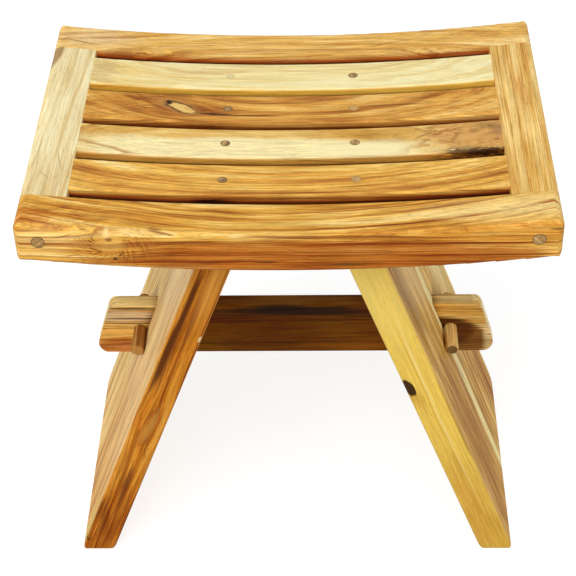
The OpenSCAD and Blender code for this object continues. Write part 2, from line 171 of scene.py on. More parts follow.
legTop = {"x": 58.5, "z": 403.4, "lean": math.radians(20.1)}  # middle of a leg's top, and lean off upright
boardAxes = {  # origin in millimetres and turn of a board's own axes, x along its grain
    "alongSeat": ((0, 0, 0), (0, 0, 0)),
    "acrossSeat": ((0, 0, 0), (0, 0, math.pi / 2)),  # y is the bench's left
    # x is down the leg, and z is inwards on the left leg and outwards on the right one
    "leftLeg": ((-legTop["x"], 0, legTop["z"]), (0, math.pi / 2 + legTop["lean"], 0)),
    "rightLeg": ((legTop["x"], 0, legTop["z"]), (0, math.pi / 2 - legTop["lean"], 0)),
    "onEdge": ((0, 0, 0), (math.pi / 2, 0, 0)),      # y is up, z is to the front
    "upright": ((0, 0, 0), (0, -math.pi / 2, 0)),
}
seatArc = {"z": 2297.8, "r": 1855.3}  # height of the middle, and radius, of the arc the seat is dished to
towardsFront = (0, -1, 0)
towardsBack = (0, 1, 0)


# A patch is a soft-edged place of other wood: sap, a stain, a streak or a knot's heart.
# soft is how much of it fades out, ragged how far fibres fray it, turn and tilt are in degrees.
# One that flows bends with the rings, and one that deepens only darkens the wood, so the figure shows.
def patch(at, half, colour, cover, soft=0.8, ragged=0.8, turn=0, tilt=0, flows=False, deepens=False):
    rotation = (0, math.radians(tilt), math.radians(turn))
    return {"at": at, "half": half, "rotation": rotation, "colour": colour, "cover": cover, "soft": soft,
            "ragged": ragged, "flows": flows, "blend": "MULTIPLY" if deepens else "MIX"}


def paintPatch(tree, colour, place, roughEdge, area):
    turned = addNode(tree, "Mapping", {"Vector": place, "Location": area["at"], "Rotation": area["rotation"],
                                       "Scale": area["half"]}, vector_type="TEXTURE")
    distance = addNode(tree, "VectorMath", {0: turned}, operation="LENGTH").outputs["Value"]
    frayed = addNode(tree, "Math", {0: roughEdge, 1: area["ragged"], 2: distance}, operation="MULTIPLY_ADD")
    cover = addNode(tree, "MapRange", {"Value": frayed, **span(1 - area["soft"], 1),
                                       **span(area["cover"], 0, "To")}, interpolation_type="SMOOTHSTEP")
    return addNode(tree, "Mix", {"Factor": cover, 6: colour, 7: toLinear(area["colour"])},
                   data_type="RGBA", blend_type=area["blend"]).outputs[2]


# Fine curly strokes that spread sideways and down from a knot's heart, on a face that looks along y.
def paintRays(tree, colour, place, rays):
    away = addNode(tree, "VectorMath", {0: place, 1: rays["at"]}, operation="SUBTRACT")
    away = addNode(tree, "VectorMath", {0: away, 1: (1, 1, rays["squeeze"])}, operation="MULTIPLY")
    out = addNode(tree, "VectorMath", {0: away}, operation="LENGTH").outputs["Value"]
    parts = addNode(tree, "SeparateXYZ", {0: away}).outputs
    angle = addNode(tree, "Math", {0: parts[2], 1: parts[0]}, operation="ARCTAN2")
    turned = addNode(tree, "Math", {0: out, 1: rays["curl"], 2: angle}, operation="MULTIPLY_ADD")
    around = addNode(tree, "Math", {0: turned, 1: rays["count"]}, operation="MULTIPLY")
    outward = addNode(tree, "Math", {0: out, 1: rays["length"]}, operation="DIVIDE")
    spot = addNode(tree, "CombineXYZ", {0: around, 1: outward})
    stroke = addNode(tree, "TexNoise", {"Vector": spot, "Scale": 1.0, "Detail": 4.0, "Roughness": 0.7},
                     noise_dimensions="2D")
    slant = addNode(tree, "Math", {0: parts[0], 1: out}, operation="DIVIDE")
    slant = addNode(tree, "Math", {0: slant}, operation="ABSOLUTE")
    cover = None
    for measure, reach, shares in (
            (stroke, rays["strokes"], (0, 1)), (out, rays["inner"], (0, 1)),
            (out, rays["outer"], (rays["cover"], 0)), (parts[2], (0, rays["above"]), (1, 0)),
            (slant, rays["slant"], (rays["upright"], 1))):
        share = addNode(tree, "MapRange", {"Value": measure, **span(*reach), **span(*shares, "To")})
        cover = addNode(tree, "Math", {0: cover, 1: share}, operation="MULTIPLY") if cover else share
    return addNode(tree, "Mix", {"Factor": cover, 6: colour, 7: toLinear(rays["colour"])},
                   data_type="RGBA").outputs[2]


plugRim = {"starts": 1.4, "full": 0.3, "cover": 0.9}  # millimetres inside the rim


# Glue and shade darken a plug's rim. The plugs stand in mirrored rows, a step either side of row.
def paintRim(tree, colour, place, disc):
    place = addNode(tree, "VectorMath", {0: place}, operation="ABSOLUTE")
    place = addNode(tree, "VectorMath", {0: place, 1: disc["row"]}, operation="SUBTRACT")
    place = addNode(tree, "VectorMath", {0: place}, operation="ABSOLUTE")
    place = addNode(tree, "VectorMath", {0: place, 1: disc["step"]}, operation="SUBTRACT")
    place = addNode(tree, "VectorMath", {0: place, 1: acrossGrain}, operation="MULTIPLY")
    outward = addNode(tree, "VectorMath", {0: place}, operation="LENGTH").outputs["Value"]
    ends = (disc["radius"] - plugRim["starts"], disc["radius"] - plugRim["full"])
    rim = addNode(tree, "MapRange", {"Value": outward, **span(*ends), "To Max": plugRim["cover"]})
    return addNode(tree, "Mix", {"Factor": rim, 6: colour, 7: toLinear(disc["rim"])},
                   data_type="RGBA").outputs[2]


slotShade = {  # painted shade down the slots, depths in millimetres under the seat's arc
    "faces": (0.45, 0.9), "cover": 0.85,              # how squarely a face looks into the slot
    "foot": (5.5, 8.5), "footColour": "#2A1206",      # below here hardly any light comes in
    "slatFoot": (19, 22),                             # below here the rails' faces are plain again
}


# Down a slot the wood is painted darker, as painted shade where light doesn't reach, and near black at the
# foot.
def shadeSlots(tree, colour, place, facing, board):
    fromArc = addNode(tree, "VectorMath", {0: place, 1: (0, 0, seatArc["z"])}, operation="SUBTRACT")
    fromArc = addNode(tree, "VectorMath", {0: fromArc, 1: (1, 0, 1)}, operation="MULTIPLY")
    toArc = addNode(tree, "VectorMath", {0: fromArc}, operation="LENGTH").outputs["Value"]
    depths = [[seatArc["r"] + depth for depth in pair]
              for pair in (board["slotShadeDepth"], slotShade["foot"], slotShade["slatFoot"])]
    tint = addNode(tree, "MapRange", {"Value": toArc, **span(*depths[0])}, interpolation_type="SMOOTHSTEP")
    foot = addNode(tree, "MapRange", {"Value": toArc, **span(*depths[1])}, interpolation_type="SMOOTHSTEP")
    besideSlat = addNode(tree, "MapRange", {"Value": toArc, **span(*depths[2]), **span(1, 0, "To")})
    foot = addNode(tree, "Math", {0: foot, 1: besideSlat}, operation="MULTIPLY")
    for side in board["slotSides"]:
        towards = addNode(tree, "VectorMath", {0: facing, 1: side}, operation="DOT_PRODUCT")
        atSide = addNode(tree, "MapRange", {"Value": towards.outputs["Value"], **span(*slotShade["faces"]),
                                            "To Max": slotShade["cover"]}, interpolation_type="SMOOTHSTEP")
        # painted shade: faces that look into a slot take a darker tint with depth, then a near-black foot
        shaded = addNode(tree, "Math", {0: atSide, 1: tint}, operation="MULTIPLY")
        colour = addNode(tree, "Mix", {"Factor": shaded, 6: colour, 7: toLinear(board["slotShadeTint"])},
                         data_type="RGBA", blend_type="MULTIPLY").outputs[2]
        unlit = addNode(tree, "Math", {0: atSide, 1: foot}, operation="MULTIPLY")
        colour = addNode(tree, "Mix", {"Factor": unlit, 6: colour, 7: toLinear(slotShade["footColour"])},
                         data_type="RGBA").outputs[2]
    return colour


plainBoard = {  # what a board has, unless its own dictionary says otherwise
    "runOut": 0.0,             # how fast the rings climb along the board
    "knots": [],               # where the rings bend: reach in millimetres, push and swirl
    "zones": [], "marks": [],  # patches under the growth lines, and patches over them
    "rays": [],
    "slotSides": [],           # which ways its faces look into a slot
    "slotShadeDepth": (1.5, 11),    # where their painted shade starts and is full, millimetres under the seat's arc
    "lineStrength": 0.7, "fibre": 0.26, "pores": 0.4,
    "end": "#9A6A38", "endMix": 0.4,  # end grain
    "sheen": 0.12,
}
oiledFinish = {
    "ior": 1.47, "roughness": (0.48, 0.62), "glossRange": (0.3, 0.7), "shadeRange": (0.33, 0.67),
    "endFacing": (0.6, 0.95),            # how squarely a face must cut the grain to show end grain
    "relief": 0.35, "reliefHeight": 0.0002, "poreDepth": -0.7,
}


# Teak, planed and oiled: satin, warm, with darker late wood and open pores that hold a little shade.
def oiledTeak(name, board):
    board = {**plainBoard, **board}
    material = bpy.data.materials.new(name)
    material.use_nodes = True
    tree = material.node_tree
    surface = tree.nodes["Principled BSDF"]
    origin, turn = boardAxes[board["axes"]]
    coordinates = addNode(tree, "TexCoord").outputs
    still = addNode(tree, "Mapping", {"Vector": coordinates["Object"], "Rotation": turn,
                                      "Location": [v * millimetre for v in origin],
                                      "Scale": [millimetre] * 3}, vector_type="TEXTURE")
    facing = addNode(tree, "Mapping", {"Vector": coordinates["Normal"], "Rotation": turn},
                     vector_type="TEXTURE")
    place = still
    for knot in board["knots"]:
        place = addNode(tree, "Group", {"Place": place, "Middle": knot["at"], "Reach": knot["reach"],
                                        "Push": knot["push"], "Swirl": knot["swirl"]}, node_tree=knotFlow)
    grain = addNode(tree, "Group", {"Place": place, "Pith": (0, *board["pith"]), "Seed": board["seed"],
                                    "Ring Width": board["ringWidth"], "Wander": board["wander"],
                                    "Run Out": board["runOut"]}, node_tree=teakGrowth).outputs
    ramp = addNode(tree, "ValToRGB", {"Fac": grain["Tone"]})
    stops = ramp.color_ramp.elements
    while len(stops) < len(board["colours"]):
        stops.new(0.5)
    for i, code in enumerate(board["colours"]):
        stops[i].position = i / (len(board["colours"]) - 1)
        stops[i].color = toLinear(code)
    colour = ramp
    for zone in board["zones"]:
        colour = paintPatch(tree, colour, grain["Place"], grain["Rough Edge"], zone)
    darkened = addNode(tree, "Math", {0: grain["Line"], 1: board["lineStrength"]},
                       operation="MULTIPLY", use_clamp=True)
    colour = addNode(tree, "Mix", {"Factor": darkened, 6: colour, 7: toLinear(board["line"])},
                     data_type="RGBA", blend_type="MULTIPLY").outputs[2]
    fibreShade = addNode(tree, "MapRange", {"Value": grain["Fibre"], **span(*oiledFinish["shadeRange"]),
                                            **span(1 - board["fibre"], 1 + board["fibre"], "To")})
    colour = addNode(tree, "VectorMath", {0: colour, "Scale": fibreShade}, operation="SCALE")
    poreShade = addNode(tree, "Math", {0: grain["Pore"], 1: board["pores"]}, operation="MULTIPLY")
    colour = addNode(tree, "Mix", {"Factor": poreShade, 6: colour, 7: toLinear(board["line"])},
                     data_type="RGBA", blend_type="MULTIPLY").outputs[2]
    if "disc" in board:
        colour = paintRim(tree, colour, still, board["disc"])
    for mark in board["marks"]:
        place = grain["Place"] if mark["flows"] else still
        colour = paintPatch(tree, colour, place, grain["Rough Edge"], mark)
    for rays in board["rays"]:
        colour = paintRays(tree, colour, still, rays)
    if board["slotSides"]:
        colour = shadeSlots(tree, colour, still, facing, board)
    endOn = addNode(tree, "SeparateXYZ", {0: facing})
    endOn = addNode(tree, "Math", {0: endOn}, operation="ABSOLUTE")
    endGrain = addNode(tree, "MapRange", {"Value": endOn, **span(*oiledFinish["endFacing"]),
                                          "To Max": board["endMix"]}, interpolation_type="SMOOTHSTEP")
    colour = addNode(tree, "Mix", {"Factor": endGrain, 6: colour, 7: toLinear(board["end"])},
                     data_type="RGBA").outputs[2]
    tree.links.new(colour, surface.inputs["Base Color"])
    gloss = addNode(tree, "MapRange", {"Value": grain["Fibre"], **span(*oiledFinish["glossRange"]),
                                       **span(*oiledFinish["roughness"], "To")})
    tree.links.new(gloss.outputs[0], surface.inputs["Roughness"])
    surface.inputs["IOR"].default_value = oiledFinish["ior"]
    surface.inputs["Specular IOR Level"].default_value = board["sheen"]
    relief = addNode(tree, "Math", {0: grain["Pore"], 1: oiledFinish["poreDepth"], 2: grain["Fibre"]},
                     operation="MULTIPLY_ADD")
    bump = addNode(tree, "Bump", {"Height": relief, "Strength": oiledFinish["relief"],
                                  "Distance": oiledFinish["reliefHeight"]})
    tree.links.new(bump.outputs[0], surface.inputs["Normal"])
    return material


def dress(nodeName, material):
    piece = nodes[nodeName]
    if not piece.material_slots:
        piece.data.materials.append(material)
    for materialSlot in piece.material_slots:
        materialSlot.link = "OBJECT"
        materialSlot.material = material


# Each board's places are in its own axes, in millimetres. pith is where its tree's middle lay, in y and z.
frontRail = {
    "axes": "alongSeat", "pith": (-60, 330), "ringWidth": 4.6, "wander": 3.5, "runOut": 0.004,
    "seed": 3.1, "colours": ["#F6D68E", "#EBC068", "#E0AC4E", "#D0963A", "#B8782A", "#96581E"],
    "line": "#A4602C", "lineStrength": 0.9, "slotSides": [towardsBack], "slotShadeTint": "#B87830",
    "knots": [
        {"at": (-151, -162, 439), "reach": (34, 40, 16), "push": 0.6, "swirl": 1.2},
    ],
    "rays": [{
        "at": (-149, -162, 440), "squeeze": 0.9, "curl": 0.04, "count": 10, "length": 7,
        "strokes": (0.5, 0.64), "cover": 1.0, "colour": "#70360E",
        "inner": (8, 14.4), "outer": (20, 40),   # millimetres from the heart where they start and end
        "above": 8.0,                            # and how far above it
        "slant": (0.25, 0.75), "upright": 0.35,  # strokes straight up or down are fainter
    }],
    "zones": [
        patch((205, -136, 455), (130, 25, 40), "#FCE094", 0.72, soft=0.9),
        patch((-205, -165, 440), (40, 20, 24), "#F4D084", 0.5),
        patch((160, -165, 445), (150, 18, 14), "#E6D2B4", 0.9, soft=0.6, deepens=True),
        patch((40, -165, 417), (236, 60, 24), "#C8966A", 0.95, soft=0.35, ragged=0.4, deepens=True),
        # painted highlight: a pale line along the rounded top edge of the face
        patch((20, -158, 462.5), (125, 20, 2), "#F8E0A0", 0.8),
        patch((-205, -150, 458), (60, 14, 10), "#E8BC9A", 0.8, soft=0.5, deepens=True),
    ],
    "marks": [
        # the long dark line across its face
        patch((31, -165, 440), (150, 60, 1.5), "#6E3A12", 0.8, ragged=0.6, flows=True),
        patch((-60, -165, 446), (60, 60, 1.0), "#8A4E1A", 0.7, flows=True),
        patch((60, -165, 425), (130, 60, 1.1), "#6A3812", 0.65, flows=True),
        # chips along the foot of the face
        patch((-18, -165, 414), (17, 20, 1.5), "#4A2A10", 0.9, soft=0.6),
        patch((51, -165, 411), (25, 20, 3.5), "#5A4418", 0.8, soft=0.9, ragged=2.2),
        patch((227, -165, 448), (9, 20, 1.0), "#5A3A14", 0.8, soft=0.5),  # short lines by the right plug
        patch((212, -165, 421), (12, 20, 0.9), "#5A3A14", 0.7, soft=0.5),
        # brown shade either side of the knot
        patch((-120, -165, 432), (22, 20, 12), "#B8742C", 0.5, soft=0.9, ragged=1.4, tilt=22),
        patch((-178, -165, 431), (20, 20, 11), "#C0843A", 0.45, soft=0.9, ragged=1.4, tilt=-18),
        # paler wood round its heart
        patch((-151, -165, 436), (13, 20, 20), "#ECC068", 0.3, soft=0.9, ragged=1.8),
        patch((-140, -163, 455), (44, 20, 2.2), "#F6D88C", 0.6, soft=0.9, ragged=1.0, tilt=3),
        patch((-152.5, -165, 447), (3.6, 20, 8), "#F8E09C", 0.5, soft=0.9, ragged=1.8),
        patch((-151, -165, 439.5), (3, 20, 2), "#8A5222", 0.85, soft=0.6, ragged=1.6),  # the knot's heart
        # dark chips near it
        patch((-147, -165, 419), (3.4, 20, 2.2), "#3E2410", 0.9, soft=0.5, ragged=2.0),
        patch((-141, -165, 424), (5, 20, 1.3), "#5E3614", 0.8, soft=0.5, ragged=1.6, tilt=-40),
        patch((-172, -160, 461), (3.4, 20, 1.8), "#4A2C14", 0.9, soft=0.5, ragged=1.8, tilt=-30),
        # lines that bend past the knot
        patch((-174, -165, 450), (9, 20, 1.3), "#8A4E1E", 0.8, ragged=1.2, tilt=14),
        patch((-187, -165, 444), (12, 20, 1.2), "#7E4820", 0.75, ragged=1.0, tilt=-14),
        patch((-182, -165, 423), (15, 20, 1.1), "#9A6228", 0.7, ragged=1.0, tilt=-12),
        patch((-109, -165, 445), (22, 20, 1.4), "#7A4418", 0.8, ragged=1.0, tilt=11),
        patch((-108, -165, 424), (24, 20, 1.3), "#7A4418", 0.75, ragged=1.0, tilt=6),
    ],
}
dress("front_rail", oiledTeak("frontRailOiledTeak", frontRail))

backRail = {
    "axes": "alongSeat", "pith": (60, 300), "ringWidth": 5.0, "wander": 5, "runOut": -0.004,
    "seed": 11.7, "colours": ["#FFE6A4", "#FAD588", "#F3C670", "#E8B45A", "#D29A44", "#B07432"],
    "line": "#AE7038", "lineStrength": 0.75, "fibre": 0.2, "slotSides": [towardsFront],
    "slotShadeTint": "#D87008", "slotShadeDepth": (0, 6),
    "knots": [
        {"at": (-143, 121, 452), "reach": (34, 12, 30), "push": 0.7, "swirl": 5},
        {"at": (134, 121, 450), "reach": (26, 10, 30), "push": 0.7, "swirl": 4},
    ],
    "zones": [
        patch((-190, 142, 455), (58, 30, 30), "#E4C69A", 0.5),
    ],
    "marks": [
        patch((-17, 132.5, 448), (85, 1.2, 30), "#8A5A26", 0.6),
        patch((92, 138, 448), (32, 1.2, 30), "#8A5A26", 0.6, turn=15),
        patch((-207, 132, 455), (26, 1.4, 30), "#8A5A2C", 0.7, turn=-11),
        patch((-143, 118, 450), (13, 3, 6), "#8A3E12", 0.8, ragged=1.5),  # the left knot, low in the slot
        patch((-165, 119, 448), (22, 4, 5), "#A8642C", 0.6, ragged=1.5),
        patch((134, 119, 450), (8, 4, 9), "#C8843C", 0.7),  # the right knot
        patch((134, 120, 449), (4, 2, 3), "#40240E", 0.9, soft=0.6, ragged=1.5),
    ],
}
dress("back_rail", oiledTeak("backRailOiledTeak", backRail))

leftEndRail = {
    "axes": "acrossSeat", "pith": (60, 240), "ringWidth": 3.4, "wander": 3.5, "runOut": 0.045,
    "seed": 23.4, "colours": ["#FAEFC4", "#F5E8B8", "#F1E1AE", "#ECD8A2", "#E5CE94", "#DBC084"],
    "line": "#D6B47C", "lineStrength": 0.45, "fibre": 0.12, "pores": 0.5,
    "marks": [
        # dark heartwood wedge at the back corner
        patch((122, 232, 455), (42, 13, 30), "#946A3C", 0.8, soft=0.2, ragged=0.25),
        patch((-54, 223, 455), (14, 0.9, 30), "#B8A67C", 0.5, soft=0.5),  # faint scratches
        patch((-66, 203, 455), (22, 1.6, 30), "#B49A6A", 0.5, soft=0.9, turn=14),
        patch((-90, 213, 455), (14, 1.6, 30), "#B49A6A", 0.4, soft=0.9, turn=46),
    ],
    "zones": [
        patch((0, 231.5, 455), (170, 5, 40), "#E8CC84", 0.8, soft=0.6),
        patch((-120, 210, 455), (90, 60, 60), "#EDE4D8", 0.9, deepens=True),
    ],
}
dress("left_end_rail", oiledTeak("leftEndRailTeakSapwood", leftEndRail))

rightEndRail = {
    "axes": "acrossSeat", "pith": (-60, 330), "ringWidth": 3.0, "wander": 2, "runOut": 0.003,
    "seed": 31.9, "colours": ["#FCE4A4", "#F5D488", "#ECC372", "#E0B05C", "#CE9646", "#AE7634"],
    "line": "#B0743A", "lineStrength": 0.6, "fibre": 0.2,
    "zones": [
        patch((40, -213, 455), (52, 9, 30), "#E8C8A4", 0.9, deepens=True),
        patch((-120, -210, 455), (110, 60, 60), "#EEE0C4", 0.9, deepens=True),
    ],
    "marks": [
        patch((-25, -199, 455), (20, 1, 30), "#9A6830", 0.6, soft=0.5),
    ],
}
dress("right_end_rail", oiledTeak("rightEndRailOiledTeak", rightEndRail))

# Slats are numbered from the back.
slatOne = {
    "axes": "alongSeat", "pith": (120, 340), "ringWidth": 6, "wander": 7, "runOut": 0.01,
    "seed": 41.2, "colours": ["#FDF4C2", "#FAECB2", "#F6E4A4", "#EFD894", "#E2C67E"],
    "line": "#D8B478", "lineStrength": 0.5, "fibre": 0.11, "pores": 0.3,
    "slotSides": [towardsFront, towardsBack], "slotShadeTint": "#FFCE36", "slotShadeDepth": (-2, 3),
    "zones": [
        patch((-180, 84, 452), (22, 26, 20), "#D2BE94", 0.6, soft=0.9),
        patch((-150, 84, 452), (120, 40, 20), "#F5E9D2", 0.95, deepens=True),
    ],
}
dress("slat_1", oiledTeak("slatOneTeakSapwood", slatOne))

slatTwo = {
    "axes": "alongSeat", "pith": (60, 320), "ringWidth": 4.2, "wander": 2.4, "runOut": 0.004,
    "seed": 55.8, "colours": ["#FAD48C", "#EFC06C", "#E4AE54", "#D69A44", "#BE7E34", "#9A5E26"],
    "line": "#A0602C", "lineStrength": 0.6, "slotSides": [towardsFront, towardsBack],
    "slotShadeTint": "#B07032", "slotShadeDepth": (1.5, 7),
    "knots": [
        {"at": (-102, 27, 445), "reach": (34, 15, 30), "push": 0.92, "swirl": 0.6},
    ],
    "zones": [
        patch((-140, 28, 445), (110, 40, 30), "#F3ECE4", 0.95, soft=0.6, deepens=True),
    ],
    "marks": [
        # brown ground round the eye
        patch((-101, 27, 445), (28, 14, 20), "#CC9A58", 0.5, soft=0.6, ragged=1.2, turn=-28),
        # the eye's dark rim
        patch((-101, 27, 445), (19.6, 9.0, 20), "#4A2A12", 0.92, soft=0.35, ragged=1.0, turn=-31),
        patch((-100, 26.5, 445), (16.4, 6.4, 20), "#ECC472", 0.97, soft=0.35, turn=-31),  # its pale core
        patch((-96, 26, 445), (9, 2.2, 20), "#B4803C", 0.65, ragged=1.4, turn=-34),
        # black bead at its left end
        patch((-113.5, 36, 445), (4.2, 2.6, 20), "#20120A", 0.95, soft=0.5, turn=-60),
        # the dark tail to its right
        patch((-70, 18.5, 445), (24, 3.4, 20), "#38281A", 0.9, soft=0.6, turn=-4),
        patch((-40, 17, 445), (46, 1.5, 20), "#4E3018", 0.85, soft=0.6, ragged=0.5, turn=-1),
        # lines that bend past the eye
        patch((-128, 44, 445), (26, 1.1, 20), "#7A4A22", 0.7, ragged=1.0, turn=10),
        patch((-80, 41, 445), (26, 1.1, 20), "#8A5628", 0.6, ragged=1.0, turn=-14),
        patch((-136, 24, 445), (24, 1.1, 20), "#7A4A22", 0.6, ragged=1.0, turn=16),
        patch((85, 30.5, 445), (80, 1.2, 20), "#6E421C", 0.7, flows=True),
    ],
}
dress("slat_2", oiledTeak("slatTwoOiledTeak", slatTwo))

slatThree = {
    "axes": "alongSeat", "pith": (-28, 330), "ringWidth": 4.6, "wander": 4, "runOut": 0.01,
    "seed": 60.4, "colours": ["#F4D88C", "#EAC474", "#DEB05C", "#CE9C48", "#B27C36"],
    "line": "#B4783A", "lineStrength": 0.7, "fibre": 0.18, "pores": 0.4,
    "slotSides": [towardsFront, towardsBack], "slotShadeTint": "#E1A51C", "slotShadeDepth": (-2.5, 3.5),
    "knots": [
        {"at": (168, -26, 450), "reach": (38, 30, 30), "push": 0.4, "swirl": 16},
    ],
    "zones": [
        # the sapwood stripe
        patch((-50, -40, 445), (222, 25, 30), "#FAECB2", 0.88, soft=0.3, ragged=0.5, turn=-1.4),
        # the burl at the right end
        patch((172, -24, 450), (50, 28, 30), "#D29C58", 0.8, soft=0.25, ragged=0.9),
    ],
    "marks": [
        patch((-186, -30, 445), (30, 30, 20), "#E8D4AC", 0.8, soft=0.9, deepens=True),
        # brightest part of the sapwood
        patch((70, -42, 445), (62, 14, 20), "#FCEFB6", 0.75, soft=0.4, ragged=0.7, turn=-3),
        # olive shade along the front edge
        patch((60, -51, 447), (84, 4.5, 20), "#8E6C20", 0.65, soft=0.9, ragged=1.2),
        patch((158, -49, 450), (36, 6.5, 20), "#46301A", 0.9, ragged=2.0),  # the burl's dark front edge
        patch((180, -50, 450), (22, 5, 20), "#2A1C10", 0.9, soft=0.7, ragged=2.0),
        patch((157, -45, 450), (10, 4, 20), "#B4975A", 0.8, ragged=2.0),
        patch((150, -14, 450), (16, 1.2, 20), "#9A6A3A", 0.7, ragged=1.8, turn=12),  # its cracks and eyes
        patch((140, -34, 450), (14, 1.0, 20), "#8A5A30", 0.7, ragged=1.8, turn=-24),
        patch((160, -30, 450), (12, 7, 20), "#DDAE68", 0.6, soft=0.9, ragged=1.8),
        patch((176, -13, 450), (17, 6, 20), "#94743C", 0.6, soft=0.7, ragged=1.6, turn=-8),
        patch((172, -40, 450), (20, 1.0, 20), "#6A4826", 0.7, ragged=1.6, turn=16),
        patch((150, -24, 450), (3, 13, 20), "#8A6234", 0.5, soft=0.9, ragged=2.4, turn=-24),
        patch((185, -36, 450), (5, 4, 20), "#7A5634", 0.7, ragged=1.8),
        patch((165, -19, 450), (6, 4.5, 20), "#8E6238", 0.6, soft=0.9, ragged=2.0),
        patch((182, -16, 450), (5, 4, 20), "#7E5630", 0.6, soft=0.9, ragged=2.0),
        patch((145, -47, 450), (3.2, 1.4, 20), "#E2D0A4", 0.9, soft=0.7, ragged=1.4),
        patch((128, -14, 450), (10, 6, 20), "#8A5A34", 0.6, soft=0.9, ragged=3.2, turn=20),
        patch((187, -22, 450), (7, 14, 20), "#9A7050", 0.6, soft=0.9, ragged=2.0),
        patch((120, -22, 450), (12, 2.0, 20), "#8A5E30", 0.6, soft=0.5, ragged=1.6, turn=30),
    ],
}
dress("slat_3", oiledTeak("slatThreeTeakSapAndHeart", slatThree))

slatFour = {
    "axes": "alongSeat", "pith": (-30, 330), "ringWidth": 3.8, "wander": 2, "runOut": 0.002,
    "seed": 71.5, "colours": ["#FAD88C", "#F0C468", "#E6B252", "#DA9F44", "#C48436", "#A2682A"],
    "line": "#A2662C", "lineStrength": 0.8, "slotSides": [towardsFront, towardsBack],
    "slotShadeTint": "#C15610", "slotShadeDepth": (1.5, 7),
    "marks": [
        patch((-74, -107, 438), (34, 5, 8), "#A85A24", 0.8, ragged=1.2),  # a dark gap in the front edge
        patch((-72, -107, 435), (27, 5, 8), "#30140A", 0.95, soft=0.6, ragged=1.4),
    ],
}
dress("slat_4", oiledTeak("slatFourOiledTeak", slatFour))
print("seat dressed")

cleats = {
    "axes": "acrossSeat", "pith": (60, 330), "ringWidth": 4, "wander": 5, "seed": 80.3,
    "colours": ["#CFA05A", "#C08E48", "#B07E3C"], "line": "#A06A34",
}
for nodeName in ("left_cleat", "right_cleat"):
    dress(nodeName, oiledTeak("cleatOiledTeak", cleats))

leftLegFront = {
    "axes": "leftLeg", "pith": (-60, 90), "ringWidth": 4.2, "wander": 4, "runOut": 0.004,
    "seed": 93.6, "colours": ["#FADCA0", "#F0CA84", "#E4B668", "#D49E50", "#B67E3A", "#8E5826"],
    "line": "#A8703A", "lineStrength": 0.75, "sheen": 0.06,
    "knots": [
        {"at": (236, -125, 1), "reach": (38, 40, 12), "push": 0.7, "swirl": 2},
    ],
    "zones": [
        patch((119, -60, -16), (90, 5, 6), "#F0D898", 0.75),
        # painted light: the top of the outer face made paler where the seat shades it
        patch((40, -60, -16), (190, 150, 7), "#FFE4AC", 0.72, soft=0.9, ragged=1.4),
        patch((400, -112, -16), (38, 18, 9), "#DDBB60", 0.9, soft=0.4),
        patch((240, -60, -16), (220, 110, 7), "#FCDCA0", 0.5, ragged=1.2),
        patch((360, -50, -16), (130, 90, 9), "#F6EAD6", 0.9, soft=0.6, deepens=True),
    ],
    "marks": [
        # the front edge is deeper in tone
        patch((230, -143, 0), (900, 22, 60), "#E0B466", 1.0, soft=0.12, ragged=0, deepens=True),
        patch((385, -138, 0), (130, 20, 60), "#CEA880", 0.9, soft=0.5, ragged=0.5, deepens=True),
        # the dark streak down the front edge
        patch((112, -128, -9.4), (126, 6.5, 5.2), "#54280C", 0.95, soft=0.4, ragged=0.5, tilt=1.9),
        patch((150, -128, -6.5), (80, 20, 1.5), "#7E4418", 0.7, ragged=1.2, tilt=-1),
        patch((120, -128, 1), (90, 20, 1.4), "#8A4E1E", 0.6, ragged=1.2, tilt=-1),
        # the lens-shaped knot under it
        patch((236, -128, 1), (34, 20, 9), "#C89458", 0.75, soft=0.25, ragged=1.2, tilt=4, deepens=True),
        patch((236, -128, 1), (40, 20, 7.6), "#CC9440", 0.6, ragged=1.4, tilt=4),
        patch((270, -128, 6), (24, 20, 1.4), "#8A5222", 0.7, ragged=1.2, tilt=-8),
        # brown towards the foot
        patch((314, -128, 2), (34, 20, 5), "#6A3412", 0.75, soft=0.9, ragged=1.6),
        patch((30, -128, 6), (90, 20, 12), "#DC9E48", 0.55, soft=0.9),  # golden near the top
        patch((300, -129, -10), (36, 8, 6), "#9A6024", 0.7, ragged=1.5, tilt=2),  # brown down to the foot
        patch((378, -130, -11), (50, 9, 8), "#46240C", 0.95, ragged=1.5, tilt=-2),
        patch((350, -128, 2), (80, 20, 3.4), "#6A3412", 0.75, soft=0.9, ragged=1.6, tilt=1),
        patch((385, -128, 9), (60, 20, 2.0), "#7A4216", 0.7, soft=0.9, ragged=1.6, tilt=1),
        patch((113, -126, 14), (5, 4, 2), "#EAD2A0", 0.9, soft=0.5),  # pale chip on the inner corner
        patch((203, -35, -16), (32, 1.6, 6), "#7A5028", 0.7, soft=0.5),  # short lines on the outer face
        patch((227, -76, -16), (36, 1.6, 6), "#7A5028", 0.7, soft=0.5),
        patch((320, -50, -16), (70, 1.4, 6), "#8A5C30", 0.6, soft=0.5),
        patch((416, -122, -14), (2.2, 7, 5), "#4A3410", 0.9, soft=0.6),
    ],
}
dress("left_leg_front_board", oiledTeak("leftLegFrontOiledTeak", leftLegFront))

leftLegRear = {
    "axes": "leftLeg", "pith": (190, 80), "ringWidth": 4.4, "wander": 4, "runOut": 0.004,
    "seed": 101.6, "colours": ["#FFECB4", "#FCDC98", "#F2CC80", "#E2B666", "#CA984C", "#A47236"],
    "line": "#AE7C44", "lineStrength": 0.7, "fibre": 0.2, "sheen": 0.06,
    "marks": [
        # the joint between the boards
        patch((200, 2, -16), (260, 0.9, 6), "#6A4420", 0.7, soft=0.6, ragged=0.3),
    ],
}
dress("left_leg_rear_board", oiledTeak("leftLegRearOiledTeak", leftLegRear))

